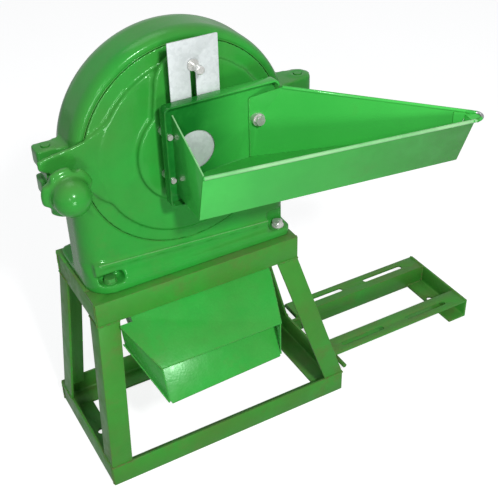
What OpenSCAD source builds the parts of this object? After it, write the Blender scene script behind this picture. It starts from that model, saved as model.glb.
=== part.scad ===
// Disc mill on a welded angle-iron stand: round cast body with a hinged feed door, a sheet hopper
// with a slide gate, a discharge chute under the body and folding slotted rails for the motor.
// Built with X to the right along the door, Y away from the operator and Z up, floor at Z 0.

/* [Stand] */
// outside width of the base rectangle
base_w = 444; // [436:2:460]
// outside depth of the base rectangle
base_d = 240; // [236:2:252]
// height of the top frame above the floor
stand_h = 352; // [350:2:380]
// leg length of the angle iron
angle_leg = 40; // [40:1:42]
// leg length of the angle iron of the four legs
leg_w = 35; // [32:1:38]
// thickness of the angle iron
angle_t = 4; // [3.5:0.5:4.5]
// outside width of the top frame
top_w = 342; // [340:2:350]
// outside depth of the top frame
top_d = 165; // [165:1:168]
// setback of the top frame behind the front of the base
top_setback = 20; // [18:1:22]
// sideways offset of the top frame from the middle of the base
top_offset = -34; // [-38:1:-30]
// how far the feet of the back legs stand in from the back
back_inset = 18; // [16:1:22]

/* [Motor rails] */
// distance from the middle of the base to the far end of the rails
rail_reach = 550; // [540:5:580]
// distance between the two rows of slots
slot_rows = 140; // [138:1:142]
// distance between the two slots of one rail
slot_pitch = 148; // [140:2:156]
// length of each slot, end to end
slot_len = 96; // [80:2:110]
// width of each slot
slot_w = 11; // [9:1:13]
// radius of the rod that the rails fold on
rod_r = 4; // [3.5:0.5:4.5]

/* [Cast body] */
// outside radius of the round body
drum_r = 168; // [166:1:169]
// radius of the grinding chamber
chamber_r = 142; // [140:1:143]
// front radius of the door disc
door_r = 153; // [152:0.5:153.5]
// height of the spindle above the floor
spindle_h = 553; // [548:1:560]
// depth of the round body
drum_depth = 80; // [78:1:90]
// thickness of the foot flange
foot_t = 14; // [12:1:16]

/* [Door and clamp] */
// radius of the raised plate on the door
plate_r = 131; // [128:1:134]
// radius of the middle boss on the door
boss_r = 79; // [76:1:82]
// radius of the hinge pin and of the clamp stud
pin_r = 6; // [5:0.5:7]
// height of the gap between the two ears
ear_gap = 19; // [18:0.5:20]
// height of each ear
ear_t = 25; // [22:1:27]
// height of each ear of the hinge
hinge_ear_t = 30; // [28:1:32]
// radius of the hand knob over its lobes
knob_r = 36; // [32:1:38]

/* [Feed] */
// radius of the feed hole in the hopper plate
feed_r = 29; // [26:1:30]
// width of the slide gate
gate_w = 72; // [68:1:74]
// height of the slide gate
gate_h = 194; // [190:1:200]
// travel of the slide gate
gate_travel = 64; // [50:1:66]
// thickness of the hopper sheet
sheet_t = 2; // [1.5:0.5:2]

/* [Running gear] */
// radius of the rotor disc
rotor_r = 112; // [108:1:114]
// radius of the spindle in its bearings
shaft_r = 17.5; // [17.5:0.5:17.5]
// outside radius of the ball bearings
bearing_r = 36; // [36:1:36]
// outside radius of the belt pulley
pulley_r = 45; // [40:1:50]

/* [Hidden] */
$fn = 96;
green = [0.20, 0.58, 0.24];
zinc = [0.75, 0.76, 0.78];
steel = [0.55, 0.56, 0.58];
black = [0.12, 0.12, 0.12];
// small gap left where two welded sheets or bars meet
seam = 0.2;
// reach of a cope round the rolled fillet of the next bar
cope = angle_t + 4.3;
// places of the stand
base_x0 = -base_w / 2;
base_x1 = base_w / 2;
top_x0 = top_offset - top_w / 2;
top_x1 = top_offset + top_w / 2;
top_y0 = top_setback;
top_y1 = top_setback + top_d;
// anchor holes, whose middle is the origin of the part
anchor_left = base_x0 + 26;
anchor_right = rail_reach - 28;
anchor_y = 122;
anchor_r = 6.5;
// rails
rail_gauge = 174;
rail_y0 = 46;
rail_y1 = rail_y0 + rail_gauge;
slot_y0 = rail_y0 + (rail_gauge - slot_rows) / 2;
slot_x = rail_reach - 164.5;
rod_x = 248;
rod_z = 20;
rail_x0 = rod_x - 11;
// spindle line and the front face of the body
sx = top_offset + 1;
sz = spindle_h;
front_y = 45;
back_y = front_y + drum_depth;
seat_d = 14;
seat_taper = 8;
// ears, hinge pin and clamp pin
ear_mid = sz + 2.5;
pin_y = 86;
hinge_x = 175;
hinge_ear_r = 19;
clamp_x = -221;
clamp_y = 79;
arm_y = 37;
// foot of the body
foot_x0 = sx - drum_r;
foot_x1 = sx + drum_r;
foot_y0 = 33;
foot_y1 = 172;
foot_top = stand_h + foot_t;
hood_x1 = foot_x1 - 4;
// foot bolts and the pockets of the two in front
bolt_x = [sx - 135, sx + 149];
bolt_front = 47;
bolt_back = 155;
foot_bolt_r = 5;
pocket = [[-17, 20], [-19, 12]];
pocket_h = 31;
// feed
feed_x = sx - 4;
feed_z = sz + 12;
stay_r = 4;
boss_y = 28;
throat_y = 11;
plate_y = 5;
gate_y = 8;
gate_t = 2;
gate_x = sx + 2;
gate_z0 = feed_z - 37;
screw_z = feed_z + 122;
// chute: mouth, sloping front sheet and bottom sheet, and the duct behind the front bar
chute_x = -40;
chute_lip = -55;
mouth_left = -139.9;
mouth_right = 59.7;
mouth_top = stand_h - 91.9;
mouth_low = stand_h - 156.6;
chute_end = top_y0 - 4.5;
chute_left = -168.6;
chute_right = 86.5;
duct_left = -153;
duct_front = top_y0 + 4.2;
duct_back = 130;
front_rise = 0.62;
low_fold = [30, stand_h - 66.2];
low_back = [118, stand_h - 9];
chute_lean = -5.4;
low_tilt = -2.5;

// round-cornered rectangle drawn in the flat, first corner at x0, y0
module round_rect(x0, y0, w, h, r) {
    translate([x0 + r, y0]) square([w - 2 * r, h]);
    translate([x0, y0 + r]) square([w, h - 2 * r]);
    for (x = [x0 + r, x0 + w - r])
        for (y = [y0 + r, y0 + h - r])
            translate([x, y]) circle(r = r);
}

// slot drawn in the flat along X, len long between its round ends and w wide
module slot_flat(len, w) {
    translate([-(len - w) / 2, -w / 2]) square([len - w, w]);
    for (x = [-(len - w) / 2, (len - w) / 2])
        translate([x, 0]) circle(r = w / 2);
}

// flat shape given in X and Z, extruded from y0 to y1
module xz(y0, y1) {
    translate([0, y1, 0]) rotate([90, 0, 0]) linear_extrude(height = y1 - y0) children();
}

// flat shape given in Y and Z, extruded from x0 to x1
module yz(x0, x1) {
    translate([x0, 0, 0]) rotate([90, 0, 90]) linear_extrude(height = x1 - x0) children();
}

// cylinder or cone along Y
module ycyl(x, z, y0, y1, r0, r1) {
    translate([x, y0, z]) rotate([-90, 0, 0]) cylinder(h = y1 - y0, r1 = r0, r2 = r1);
}

// hexagon head or nut along Y, af across the flats
module yhex(x, z, y0, y1, af) {
    translate([x, y0, z]) rotate([-90, 0, 0]) cylinder(h = y1 - y0, r = af / 2 / cos(30), $fn = 6);
}

// hexagon head or nut along Z
module zhex(x, y, z0, z1, af) {
    translate([x, y, z0]) cylinder(h = z1 - z0, r = af / 2 / cos(30), $fn = 6);
}

// box given by its low and high corners
module box(a, b) {
    translate(a) cube(b - a);
}

// section of the angle iron, heel at 0, 0, with the rolled inner fillet
module angle_flat(w = angle_leg) {
    difference() {
        square([w, w]);
        translate([angle_t + 4, angle_t + 4]) circle(r = 4);
        translate([angle_t + 4, angle_t]) square([w, w]);
        translate([angle_t, angle_t + 4]) square([w, w]);
    }
}

module base_front_bar() {
    color(green) yz(base_x0, base_x1) angle_flat();
}

module base_back_bar() {
    color(green) yz(base_x0, base_x1) translate([base_d, 0]) mirror([1, 0]) angle_flat();
}

// side bar of the base, coped over the flanges of the front and back bars
module base_side(x_out, dir) {
    difference() {
        translate([x_out, base_d - angle_t - seam, 0]) rotate([90, 0, 0])
            linear_extrude(height = base_d - 2 * angle_t - 2 * seam)
                mirror([dir < 0 ? 1 : 0, 0]) angle_flat();
        box([base_x0 - 1, -1, -1], [base_x1 + 1, angle_leg + seam, angle_t + seam]);
        box([base_x0 - 1, base_d - angle_leg - seam, -1], [base_x1 + 1, base_d + 1, angle_t + seam]);
        box([base_x0 - 1, -1, -1], [base_x1 + 1, cope, cope]);
        box([base_x0 - 1, base_d - cope, -1], [base_x1 + 1, base_d + 1, cope]);
        translate([anchor_left, anchor_y, -1]) cylinder(h = 10, r = anchor_r);
    }
}

module base_left_bar() {
    color(green) base_side(base_x0, 1);
}

module base_right_bar() {
    color(green) base_side(base_x1, -1);
}

// one sloping leg: heel from p on the base to q under the top frame, cut level at both ends
module leg(p, q, mx, my) {
    d = q - p;
    run = norm([d[0], d[1]]);
    len = norm(d);
    tilt = atan2(run, d[2]);
    turn = atan2(d[1], d[0]);
    intersection() {
        translate(p) rotate([0, 0, turn]) rotate([0, tilt, 0]) rotate([0, 0, -turn])
            translate([0, 0, -40]) linear_extrude(height = len + 80)
                mirror([mx, 0]) mirror([0, my]) angle_flat(leg_w);
        box([-400, -100, p[2] + seam], [400, 400, q[2] - seam]);
    }
}

module leg_front_left() {
    color(green) leg([base_x0, 0, angle_leg], [top_x0, top_y0, stand_h - angle_leg], 0, 0);
}

module leg_front_right() {
    color(green) leg([base_x1, 0, angle_leg], [top_x1, top_y0, stand_h - angle_leg], 1, 0);
}

module leg_back_left() {
    color(green) leg([base_x0, base_d - back_inset, angle_leg],
                     [top_x0, top_y1, stand_h - angle_leg], 0, 1);
}

module leg_back_right() {
    color(green) leg([base_x1, base_d - back_inset, angle_leg],
                     [top_x1, top_y1, stand_h - angle_leg], 1, 1);
}

// bolt holes through the top frame and the foot
module foot_holes() {
    for (x = bolt_x)
        for (y = [bolt_front, bolt_back])
            translate([x, y, stand_h - 12]) cylinder(h = 12 + foot_t + 1, r = foot_bolt_r + 0.5);
}

module top_front_bar() {
    color(green) difference() {
        yz(top_x0, top_x1) translate([top_y0, stand_h]) mirror([0, 1]) angle_flat();
        foot_holes();
    }
}

module top_back_bar() {
    color(green) difference() {
        yz(top_x0, top_x1) translate([top_y1, stand_h]) mirror([1, 0]) mirror([0, 1]) angle_flat();
        foot_holes();
    }
}

// side bar of the top frame, coped under the flanges of the front and back bars
module top_side(x_out, dir) {
    difference() {
        translate([x_out, top_y1 - angle_t - seam, stand_h]) rotate([90, 0, 0])
            linear_extrude(height = top_d - 2 * angle_t - 2 * seam)
                mirror([dir < 0 ? 1 : 0, 0]) mirror([0, 1]) angle_flat();
        box([-400, 0, stand_h - angle_t - seam], [400, top_y0 + angle_leg + seam, stand_h + 1]);
        box([-400, top_y1 - angle_leg - seam, stand_h - angle_t - seam], [400, 300, stand_h + 1]);
        box([-400, 0, stand_h - cope], [400, top_y0 + cope, stand_h + 1]);
        box([-400, top_y1 - cope, stand_h - cope], [400, 300, stand_h + 1]);
    }
}

module top_left_bar() {
    color(green) top_side(top_x0, 1);
}

module top_right_bar() {
    color(green) top_side(top_x1, -1);
}

// two ears on the right base bar that carry the fold rod
module rail_hinge_ears() {
    color(green) for (y = [rail_y0 + angle_leg + 1.5, rail_y1 - angle_leg - 7.5])
        xz(y, y + 6) difference() {
            union() {
                translate([base_x1 + seam, 6]) square([rod_x - base_x1, 28]);
                translate([rod_x, rod_z]) circle(r = 14);
            }
            translate([rod_x, rod_z]) circle(r = rod_r);
        }
}

module rail_hinge_rod() {
    color(green) ycyl(rod_x, rod_z, rail_y0 - 17, rail_y1 + 17, rod_r, rod_r);
}

// slotted rail, flange outward and web inward, heel at the inner side
module rail(y_heel, my, y_slot) {
    difference() {
        yz(rail_x0, rail_reach - angle_t - seam)
            translate([y_heel, angle_leg]) mirror([my, 0]) mirror([0, 1]) angle_flat();
        for (x = [slot_x - slot_pitch / 2, slot_x + slot_pitch / 2])
            translate([0, 0, angle_leg - 10]) linear_extrude(height = 20)
                translate([x, y_slot]) slot_flat(slot_len, slot_w);
        ycyl(rod_x, rod_z, rail_y0 - 1, rail_y1 + 1, rod_r + 0.08, rod_r + 0.08);
        // corner cut away so the rail clears the floor as it folds
        translate([rail_x0, 0, 0]) rotate([0, 45, 0]) cube([16, 800, 16], center = true);
        box([rail_reach - angle_leg - seam, 0, -1], [rail_reach, 400, angle_t + seam]);
        box([rail_reach - cope, 0, -1], [rail_reach, 400, cope]);
    }
}

module motor_rail_front() {
    color(green) rail(rail_y0 + angle_leg, 1, slot_y0);
}

module motor_rail_back() {
    color(green) rail(rail_y1 - angle_leg, 0, slot_y0 + slot_rows);
}

// end bar that closes the rails and stands on the floor
module rail_end_bar() {
    color(green) difference() {
        translate([rail_reach, rail_y1, 0]) rotate([90, 0, 0])
            linear_extrude(height = rail_gauge) mirror([1, 0]) angle_flat();
        translate([anchor_right, anchor_y, -1]) cylinder(h = 10, r = anchor_r);
    }
}

// space inside the chute, inset by c from its outer faces: the left cheek leans in at its foot
module chute_space(c) {
    translate([mouth_left, 0, mouth_top]) rotate([0, chute_lean, 0])
        translate([-mouth_left, 0, -mouth_top]) translate([0, 0, 80]) linear_extrude(height = stand_h - 40)
            polygon([[mouth_left + c, chute_lip - 4], [chute_x, chute_lip - 4], [chute_x, chute_end - c],
                     [chute_left + c, chute_end - c]]);
    translate([0, 0, 80]) linear_extrude(height = stand_h - 84.6) {
        polygon([[chute_x - 60, chute_lip - 4], [mouth_right - c, chute_lip - 4],
                 [chute_right - c, duct_front], [chute_right - c, duct_back], [chute_x - 60, duct_back]]);
        translate([duct_left + c, chute_end - 8]) square([90, duct_back - chute_end + 8]);
    }
}

// side outline of the chute in Y and Z, its lower edge raised by k
module chute_side_flat(k) {
    polygon([[chute_lip, mouth_low + k], [low_fold[0], low_fold[1] + k * 1.15],
             [low_back[0], min(low_back[1] + k * 1.2, stand_h - 5)], [low_back[0], stand_h - 4.6],
             [33, stand_h - 4.6], [26.8, stand_h - 12], [26.8, mouth_top + 50.4],
             [24.4, mouth_top + 48.9], [chute_lip, mouth_top - 0.3]]);
}

module chute_side(x0, x1, k) {
    intersection() {
        yz(x0, x1) chute_side_flat(k);
        difference() {
            chute_space(0);
            chute_space(sheet_t);
        }
    }
}

module chute_left_side() {
    color(green) chute_side(chute_x - 200, chute_x, -4.3);
}

module chute_right_side() {
    color(green) chute_side(chute_x, chute_x + 200, 4.3);
}

// sloping front sheet with its upstand behind the front bar
module chute_top_panel() {
    color(green) union() {
        intersection() {
            yz(chute_x - 200, chute_x + 200)
                polygon([[chute_lip, mouth_top + 2.3], [chute_lip, mouth_top],
                         [duct_front, mouth_top + front_rise * (duct_front - chute_lip)],
                         [duct_front, mouth_top + front_rise * (duct_front - chute_lip) + 2.4]]);
            chute_space(0);
        }
        box([duct_left + sheet_t + seam, 24.1, mouth_top + 49],
            [chute_right - sheet_t - seam, 26.4, stand_h - 9]);
    }
}

// bottom sheet, folded once on its way up to the back, and set a little out of level
module chute_bottom_panel() {
    color(green) intersection() {
        translate([chute_x, 0, mouth_low]) rotate([0, low_tilt, 0]) translate([-chute_x, 0, -mouth_low])
            yz(chute_x - 200, chute_x + 200)
                polygon([[chute_lip - 3, mouth_low - 2.9], [low_fold[0], low_fold[1] + 0.2],
                         [low_back[0], low_back[1] + 0.2], [low_back[0], low_back[1] + 2.6],
                         [low_fold[0], low_fold[1] + 3], [chute_lip - 3, mouth_low]]);
        chute_space(sheet_t + seam);
    }
}

// round part of the casting, turned about the spindle line
module drum_solid() {
    translate([sx, front_y, sz]) rotate([-90, 0, 0]) rotate_extrude($fn = 180)
        polygon([[0, 0], [drum_r - 9, 0], [drum_r - 6.5, 1.2], [drum_r - 4, 4], [drum_r - 1.5, 9],
                 [drum_r, 17], [drum_r, drum_depth - 26], [drum_r - 1.5, drum_depth - 17],
                 [drum_r - 5, drum_depth - 8], [drum_r - 10, drum_depth - 2.5], [drum_r - 17, drum_depth],
                 [0, drum_depth]]);
}

// outline of the clamp ears seen from above, squared off at the end
module clamp_ear_plan() {
    round_rect(clamp_x - 17, clamp_y - 15, 40, 29, 4);
    polygon([[clamp_x + 8, clamp_y - 15], [clamp_x + 8, clamp_y + 14], [sx - drum_r + 14, 100],
             [sx - drum_r + 14, 58]]);
}

// outline of the hinge ears seen from above
module hinge_ear_plan() {
    translate([hinge_x, pin_y]) circle(r = hinge_ear_r);
    polygon([[hinge_x, pin_y - hinge_ear_r], [hinge_x, pin_y + hinge_ear_r], [sx + drum_r - 14, 116],
             [sx + drum_r - 14, 60]]);
}

// pair of ears of thickness t with a low boss round the pin at x, y
module ears(x, y, t, r) {
    for (z = [ear_mid + ear_gap / 2, ear_mid - ear_gap / 2 - t])
        translate([0, 0, z]) linear_extrude(height = t) children();
    translate([x, y, ear_mid + ear_gap / 2 + t - 1]) cylinder(h = 2.6, r = r);
}

// rectangle drawn in the flat with its own radius at each corner, counted from x0, y0 round to the left
module slab(x0, y0, x1, y1, r) {
    polygon([[x0 + r[0], y0], [x1 - r[1], y0], [x1, y0 + r[1]], [x1, y1 - r[2]], [x1 - r[2], y1],
             [x0 + r[3], y1], [x0, y1 - r[3]], [x0, y0 + r[0]]]);
    translate([x0 + r[0], y0 + r[0]]) circle(r = r[0]);
    translate([x1 - r[1], y0 + r[1]]) circle(r = r[1]);
    translate([x1 - r[2], y1 - r[2]]) circle(r = r[2]);
    translate([x0 + r[3], y1 - r[3]]) circle(r = r[3]);
}

module foot_plan() {
    slab(foot_x0, foot_y0, foot_x1, foot_y1, [40, 16, 14, 14]);
}

// hood below the round part, with the flared skirt on the foot
module hood_solid() {
    translate([0, 0, foot_top - 1]) linear_extrude(height = sz - foot_top + 1)
        slab(foot_x0, front_y, hood_x1, front_y + drum_depth, [34, 22, 18, 18]);
    // skirt along the front, a little higher at the left
    intersection() {
        translate([sx, 0, foot_top]) rotate([0, 2.8, 0]) yz(-drum_r + 36, drum_r - 20)
            polygon([[foot_y0 + 3, -12], [foot_y0 + 3, 1], [foot_y0 + 5, 5], [front_y - 2, 23],
                     [front_y + 3, 31], [front_y + 7, -12]]);
        translate([0, 0, foot_top - 2]) linear_extrude(height = 60) foot_plan();
    }
    // skirt round the left corner
    intersection() {
        translate([foot_x0 + 34, front_y + 34, foot_top - 1]) cylinder(h = 38, r1 = 43, r2 = 32);
        translate([0, 0, foot_top - 2]) linear_extrude(height = 60) foot_plan();
    }
    // skirt along the right side
    xz(front_y + 22, front_y + drum_depth)
        polygon([[hood_x1 - 8, foot_top - 1], [foot_x1 - 1, foot_top - 1], [foot_x1 - 1, foot_top + 4],
                 [hood_x1 + 1, foot_top + 22], [hood_x1 - 2, foot_top + 34]]);
}

module mill_body() {
    color(green) difference() {
        union() {
            drum_solid();
            hood_solid();
            translate([0, 0, stand_h]) linear_extrude(height = foot_t) foot_plan();
            ears(clamp_x, clamp_y, ear_t, 10) clamp_ear_plan();
            ears(hinge_x, pin_y, hinge_ear_t, hinge_ear_r - 5) hinge_ear_plan();
            ycyl(sx, sz, back_y - 1, back_y + 15, 62, 62);
            for (x = [sx - 70, sx + 60])
                yz(x, x + 10)
                    polygon([[back_y - 2, foot_top - 1], [foot_y1 - 8, foot_top - 1],
                             [back_y + 12, sz - 70], [back_y + 12, sz - 30], [back_y - 2, sz - 30]]);
        }
        // chamber and the tapered seat of the door
        ycyl(sx, sz, front_y + seat_d, back_y - 10, chamber_r, chamber_r, $fn = 180);
        ycyl(sx, sz, front_y - 0.01, front_y + seat_d + 0.01, door_r + 1.5, door_r + 1.5 - seat_taper,
             $fn = 180);
        // way down to the foot
        box([foot_x0 + 10, front_y + 19, foot_top + 14], [hood_x1 - 6, back_y - 10, sz]);
        box([sx - 114, front_y + 19, stand_h - 1], [sx + 114, back_y - 10, foot_top + 15]);
        // spindle hole and the holes for the housing bolts
        ycyl(sx, sz, back_y - 11, back_y + 20, shaft_r + 2, shaft_r + 2);
        for (a = [45 : 90 : 315])
            ycyl(sx + 54 * cos(a), sz + 54 * sin(a), back_y - 5, back_y + 20, 4, 4);
        foot_holes();
        // pockets for the foot bolts in front
        for (i = [0, 1])
            translate([0, 0, foot_top]) linear_extrude(height = pocket_h)
                round_rect(bolt_x[i] + pocket[i][0], foot_y0 - 10, pocket[i][1] - pocket[i][0],
                           bolt_front + 22 - foot_y0, 5);
        // pin holes
        translate([clamp_x, clamp_y, ear_mid - 60]) cylinder(h = 120, r = pin_r);
        translate([hinge_x, pin_y, ear_mid - 60]) cylinder(h = 120, r = pin_r);
    }
}

module foot_bolts() {
    color(zinc) for (x = bolt_x)
        for (y = [bolt_front, bolt_back]) {
            translate([x, y, foot_top]) cylinder(h = 2, r = 10);
            intersection() {
                zhex(x, y, foot_top + 2, foot_top + 8.4, 16);
                translate([x, y, foot_top - 1]) cylinder(h = 9.4, r1 = 15.2, r2 = 8.2);
            }
            translate([x, y, stand_h - 22]) cylinder(h = 26 + foot_t, r = foot_bolt_r);
        }
}

module foot_nuts() {
    color(zinc) for (x = bolt_x)
        for (y = [bolt_front, bolt_back])
            difference() {
                union() {
                    translate([x, y, stand_h - angle_t - 2]) cylinder(h = 2, r = 10);
                    zhex(x, y, stand_h - angle_t - 10, stand_h - angle_t - 2, 16);
                }
                translate([x, y, stand_h - 40]) cylinder(h = 60, r = foot_bolt_r);
            }
}

h_y0 = back_y + 15;
h_y1 = h_y0 + 122;

module bearing_housing() {
    color(green) difference() {
        union() {
            ycyl(sx, sz, h_y0, h_y0 + 12, 62, 62);
            ycyl(sx, sz, h_y0 + 12, h_y1, 45, 45);
            ycyl(sx, sz, h_y1 - 12, h_y1, 50, 50);
        }
        ycyl(sx, sz, h_y0 - 1, h_y1 + 1, 30, 30);
        ycyl(sx, sz, h_y0 - 1, h_y0 + 25, bearing_r, bearing_r);
        ycyl(sx, sz, h_y1 - 25, h_y1 + 1, bearing_r, bearing_r);
        for (a = [45 : 90 : 315])
            ycyl(sx + 54 * cos(a), sz + 54 * sin(a), h_y0 - 1, h_y0 + 40, 4.5, 4.5);
        for (a = [0 : 90 : 270])
            ycyl(sx + 43 * cos(a), sz + 43 * sin(a), h_y1 - 12, h_y1 + 1, 2.5, 2.5);
    }
}

module housing_bolts() {
    color(zinc) for (a = [45 : 90 : 315]) {
        yhex(sx + 54 * cos(a), sz + 54 * sin(a), h_y0 + 12.1, h_y0 + 18, 13);
        ycyl(sx + 54 * cos(a), sz + 54 * sin(a), h_y0 - 18, h_y0 + 14, 4, 4);
    }
}

// section of a ball bearing ring between two radii with its ball groove
module ring_flat(r0, r1) {
    difference() {
        translate([r0, 0]) square([r1 - r0, 17]);
        translate([26.75, 8.5]) circle(r = 5.56);
    }
}

module bearing_ring(r0, r1) {
    for (y = [h_y0 + 4, h_y1 - 21])
        translate([sx, y, sz]) rotate([-90, 0, 0]) rotate_extrude() ring_flat(r0, r1);
}

module bearing_outer_rings() {
    color(steel) bearing_ring(30.5, bearing_r);
}

module bearing_inner_rings() {
    color(steel) bearing_ring(shaft_r, 23);
}

module bearing_balls() {
    color(zinc) for (y = [h_y0 + 12.5, h_y1 - 12.5])
        for (a = [0 : 40 : 320])
            translate([sx + 26.75 * cos(a), y, sz + 26.75 * sin(a)]) sphere(r = 5.5, $fn = 32);
}

module bearing_cap() {
    color(green) difference() {
        union() {
            ycyl(sx, sz, h_y1, h_y1 + 6, 50, 50);
            ycyl(sx, sz, h_y1 + 6, h_y1 + 10, 34, 32);
            ycyl(sx, sz, h_y1 - 3.9, h_y1, bearing_r - 0.2, bearing_r - 0.2);
        }
        ycyl(sx, sz, h_y1 - 5, h_y1 + 11, shaft_r + 1, shaft_r + 1);
        ycyl(sx, sz, h_y1 - 5, h_y1 - 1, 29, 29);
        for (a = [0 : 90 : 270])
            ycyl(sx + 43 * cos(a), sz + 43 * sin(a), h_y1 - 1, h_y1 + 7, 2.6, 2.6);
    }
}

module cap_bolts() {
    color(zinc) for (a = [0 : 90 : 270]) {
        yhex(sx + 43 * cos(a), sz + 43 * sin(a), h_y1 + 6.1, h_y1 + 10, 8);
        ycyl(sx + 43 * cos(a), sz + 43 * sin(a), h_y1 - 9, h_y1 + 7, 2.5, 2.5);
    }
}

p_y0 = h_y1 + 13;
p_y1 = p_y0 + 42;
key_w = 8;

// stepped spindle with the keyway for the pulley
module main_shaft() {
    color(steel) difference() {
        union() {
            ycyl(sx, sz, 72, 95, 10, 10);
            ycyl(sx, sz, 94, h_y0 + 4, 15, 15);
            ycyl(sx, sz, h_y0 + 3, p_y0, shaft_r, shaft_r);
            ycyl(sx, sz, p_y0 - 1, p_y1 + 0.5, 14, 14);
            ycyl(sx, sz, p_y1, p_y1 + 16, 10, 10);
        }
        box([sx - key_w / 2, p_y0 + 3, sz + 10], [sx + key_w / 2, p_y1 - 3, sz + 20]);
    }
}

module bearing_sleeve() {
    color(steel) difference() {
        ycyl(sx, sz, h_y0 + 21.1, h_y1 - 21.1, 22, 22);
        ycyl(sx, sz, h_y0, h_y1, shaft_r, shaft_r);
    }
}

module rotor_disc() {
    color(steel) difference() {
        union() {
            ycyl(sx, sz, 96, 106, rotor_r, rotor_r);
            ycyl(sx, sz, 90, 113, 30, 30);
            for (a = [0 : 60 : 300])
                translate([sx, 0, sz]) rotate([0, a, 0]) box([28, 106, -4], [rotor_r - 4, 112, 4]);
        }
        ycyl(sx, sz, 80, 120, 15, 15);
    }
}

// moving claws in two rings, riveted through the rotor disc
module rotor_claws() {
    color(zinc) for (r = [66, 103])
        for (k = [0 : (r > 90 ? 17 : 9)])
            rotate_claw(r, k * 360 / (r > 90 ? 18 : 10)) box([-5, 68, -7], [5, 96, 7]);
}

// fixed claws of the door, standing between the moving rings
module door_claws() {
    color(zinc) for (k = [0 : 13])
        rotate_claw(84.5, 12 + k * 360 / 14) box([-5, 61, -7], [5, 90, 7]);
}

module rotate_claw(r, a) {
    translate([sx, 0, sz]) rotate([0, a, 0]) translate([r, 0, 0]) children();
}

module rotor_nut() {
    color(zinc) difference() {
        union() {
            ycyl(sx, sz, 86.5, 90, 20, 20);
            yhex(sx, sz, 74, 86.5, 30);
        }
        ycyl(sx, sz, 60, 95.5, 10, 10);
    }
}

module shaft_key() {
    color(steel) box([sx - key_w / 2, p_y0 + 3, sz + 10], [sx + key_w / 2, p_y1 - 3, sz + 17]);
}

// two-groove belt pulley
module belt_pulley() {
    color(green) difference() {
        translate([sx, p_y0, sz]) rotate([-90, 0, 0]) rotate_extrude($fn = 120)
            polygon([[14, 0], [pulley_r, 0], [pulley_r, 4.5], [pulley_r - 14, 8.5], [pulley_r - 14, 14],
                     [pulley_r, 18], [pulley_r, 24], [pulley_r - 14, 28], [pulley_r - 14, 33.5],
                     [pulley_r, 37.5], [pulley_r, 42], [14, 42]]);
        box([sx - key_w / 2, p_y0 - 1, sz + 8], [sx + key_w / 2, p_y1 + 1, sz + 17.2]);
    }
}

module pulley_nut() {
    color(zinc) difference() {
        union() {
            ycyl(sx, sz, p_y1 + 0.6, p_y1 + 3.5, 20, 20);
            yhex(sx, sz, p_y1 + 3.5, p_y1 + 13, 30);
        }
        ycyl(sx, sz, p_y1 - 1, p_y1 + 20, 10, 10);
    }
}

// perforated ring around the rotor, standing on the back wall of the chamber
module ring_sieve() {
    color(zinc) difference() {
        union() {
            ycyl(sx, sz, 66, 114.8, 124, 124);
            ycyl(sx, sz, 66, 72, 126.5, 126.5);
            ycyl(sx, sz, 108, 114.8, 126.5, 126.5);
        }
        ycyl(sx, sz, 60, 120, 122, 122);
        for (a = [0 : 7.5 : 352.5])
            translate([sx, 0, sz]) rotate([0, a, 0]) box([115, 75, -2], [130, 105, 2]);
    }
}

// vertical pins through the two pairs of ears
module ear_pins() {
    color(steel) for (p = [[clamp_x, clamp_y, ear_t], [hinge_x, pin_y, hinge_ear_t]])
        translate([p[0], p[1], ear_mid - ear_gap / 2 - p[2] - 3])
            cylinder(h = ear_gap + 2 * p[2] + 5, r = pin_r);
}

// swivel block between the clamp ears that takes the thread of the clamp stud
module clamp_block() {
    color(steel) translate([0, 0, ear_mid - ear_gap / 2 + 0.4]) difference() {
        linear_extrude(height = ear_gap - 0.8) difference() {
            union() {
                translate([clamp_x, clamp_y]) circle(r = 12);
                translate([clamp_x - 12, clamp_y - 28]) square([24, 28]);
            }
            translate([clamp_x, clamp_y]) circle(r = pin_r);
        }
        ycyl(clamp_x, ear_gap / 2 - 0.4, clamp_y - 29, clamp_y - 7, pin_r + 1.6, pin_r + 1.6);
    }
}

// raised plate of the door with its two arms, in X and Z
module door_plate_flat() {
    translate([sx, sz]) circle(r = plate_r, $fn = 180);
    translate([0, sz]) {
        polygon([[-120, 98], [-128, 88], [-139, 75], [-151, 64.5], [-165, 56], [-180, 49.5],
                 [-196, 45.5], [-214, 43], [-232, 40.5], [-246, 37], [-246, 24.5], [-239, 19.5],
                 [-231, 16], [-218, 10], [-204, 0], [-190, -14.5], [-177, -31.5], [-166, -45],
                 [-153, -55.5], [-140, -63.5], [-120, -73], [-60, 0]]);
        polygon([[57, 98], [66, 87], [78, 72], [92, 56], [110, 41], [132, 28], [155, 21], [hinge_x, 18],
                 [hinge_x + 11, 15], [hinge_x + 14, 9], [hinge_x + 14, -5], [hinge_x + 10, -11],
                 [hinge_x, -14], [150, -18], [130, -25], [110, -37], [92, -53], [76, -70], [57, -88],
                 [0, 0]]);
    }
    translate([clamp_x, ear_mid]) circle(r = 15);
    translate([clamp_x, ear_mid]) square([60, 20]);
}

// boss and the arched pad behind the gate, in X and Z
module door_boss_flat() {
    translate([sx, sz]) circle(r = boss_r, $fn = 144);
    translate([gate_x - 4, sz + 102]) circle(r = 45, $fn = 144);
    polygon([[gate_x - 49, sz + 102], [gate_x + 41, sz + 102], [sx + 49, sz + 60], [sx, sz],
             [sx - 53, sz + 56]]);
}

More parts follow.
